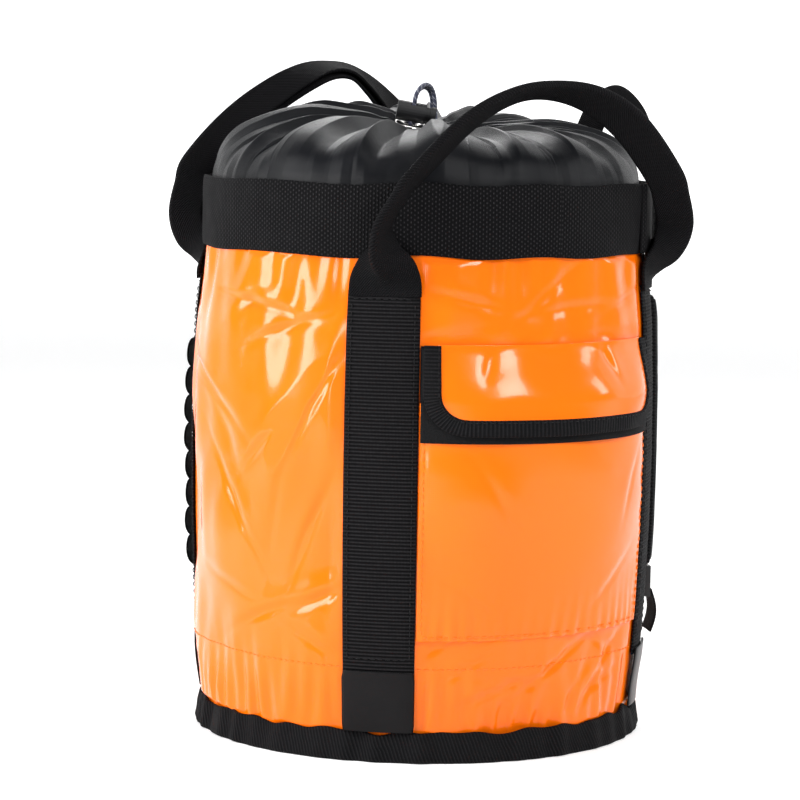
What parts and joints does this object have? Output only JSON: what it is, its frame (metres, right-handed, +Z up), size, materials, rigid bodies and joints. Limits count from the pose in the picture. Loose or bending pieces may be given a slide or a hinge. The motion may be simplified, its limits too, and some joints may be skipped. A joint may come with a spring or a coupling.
{
  "type": "rope storage bag",
  "caption": "Round rope bucket bag with a drawstring collar, flap pocket, grab handles, haul loop, shoulder straps and gear loops.",
  "frame": {"origin": "centre of the underside of the base, on the surface that the bag stands on", "axes": "+Z up through the bag; the flap pocket faces -Y; the shoulder strap panel faces +X"},
  "size_m": [0.3296, 0.3363, 0.463],
  "materials": {
    "pvc": "glossy coated PVC tarpaulin",
    "webbing": "woven polyester webbing",
    "vinyl": "satin black coated fabric",
    "cloth": "coated nylon cloth with a soft sheen",
    "tape": "hook and loop tape",
    "hoop": "flexible plastic strip",
    "plastic": "moulded satin plastic",
    "metal": "polished nickel plate",
    "cord": "braided cord, dark blue with pale flecks"
  },
  "bodies": {
    "root": {"wall": "pvc", "base_panel": "pvc", "base_binding": "webbing", "rim_band": "webbing", "rim_hoop": "hoop", "harness_yoke": "webbing", "gear_webbing": "webbing", "collar": "cloth", "pocket_front": "pvc", "pocket_back": "cloth", "pocket_loop_tape": "tape", "strap_front_left": "webbing", "strap_foot_front_left": "vinyl", "strap_front_right": "webbing", "strap_foot_front_right": "vinyl", "strap_rear_right": "webbing", "strap_foot_rear_right": "vinyl", "strap_rear_left": "webbing", "strap_foot_rear_left": "vinyl", "shoulder_pad_left": "cloth", "adjuster_webbing_left": "webbing", "strap_anchor_left": "vinyl", "shoulder_pad_right": "cloth", "adjuster_webbing_right": "webbing", "strap_anchor_right": "vinyl"},
    "flap": {"flap_panel": "pvc", "flap_binding": "webbing", "flap_hook_tape": "tape"},
    "front_handle": {"handle_front": "webbing"},
    "rear_handle": {"handle_rear": "webbing"},
    "haul_handle": {"haul_loop": "webbing"},
    "hem": {"collar_hem": "cloth", "drawcord": "cord", "eyelet": "metal", "drawcord_tail_a": "cord", "drawcord_tail_b": "cord", "drawcord_knot": "cord"},
    "cord_lock": {"cord_lock_body": "plastic", "cord_lock_spring": "metal"},
    "plunger": {"cord_lock_plunger": "plastic"},
    "adjuster_left": {"adjuster_buckle_left": "plastic", "adjuster_tail_left": "webbing"},
    "adjuster_right": {"adjuster_buckle_right": "plastic", "adjuster_tail_right": "webbing"}
  },
  "joints": [
    {"name": "flap_hinge", "type": "hinge", "parent": "root", "child": "flap", "pos_m": [0, -0.1602, 0.278], "axis": [-1, 0, 0], "range_deg": [0, 100]},
    {"name": "front_handle_swing", "type": "hinge", "parent": "root", "child": "front_handle", "pos_m": [0, -0.11809, 0.32], "axis": [1, 0, 0], "range_deg": [0, 55]},
    {"name": "rear_handle_swing", "type": "hinge", "parent": "root", "child": "rear_handle", "pos_m": [0, 0.11809, 0.32], "axis": [-1, 0, 0], "range_deg": [0, 90]},
    {"name": "haul_loop_swing", "type": "hinge", "parent": "root", "child": "haul_handle", "pos_m": [0.15004, 0, 0.318], "axis": [0, 1, 0], "range_deg": [0, 70]},
    {"name": "hem_lift", "type": "slide", "parent": "root", "child": "hem", "axis": [0, 0, 1], "range_m": [0, 0.03]},
    {"name": "cord_lock_slide", "type": "slide", "parent": "hem", "child": "cord_lock", "axis": [0, -0.2924, 0.9563], "range_m": [0, 0.002]},
    {"name": "plunger_press", "type": "slide", "parent": "cord_lock", "child": "plunger", "axis": [-0.8192, 0.5485, 0.1677], "range_m": [0, 0.003], "stiffness_N_per_m": 600, "springref_m": -0.002, "deforming": ["cord_lock_spring"]},
    {"name": "adjuster_left_tilt", "type": "hinge", "parent": "root", "child": "adjuster_left", "pos_m": [0.14572, -0.07107, 0.10825], "axis": [-0.4384, -0.8988, 0], "range_deg": [0, 35]},
    {"name": "adjuster_right_tilt", "type": "hinge", "parent": "root", "child": "adjuster_right", "pos_m": [0.14572, 0.07107, 0.10825], "axis": [0.4384, -0.8988, 0], "range_deg": [0, 35]}
  ]
}
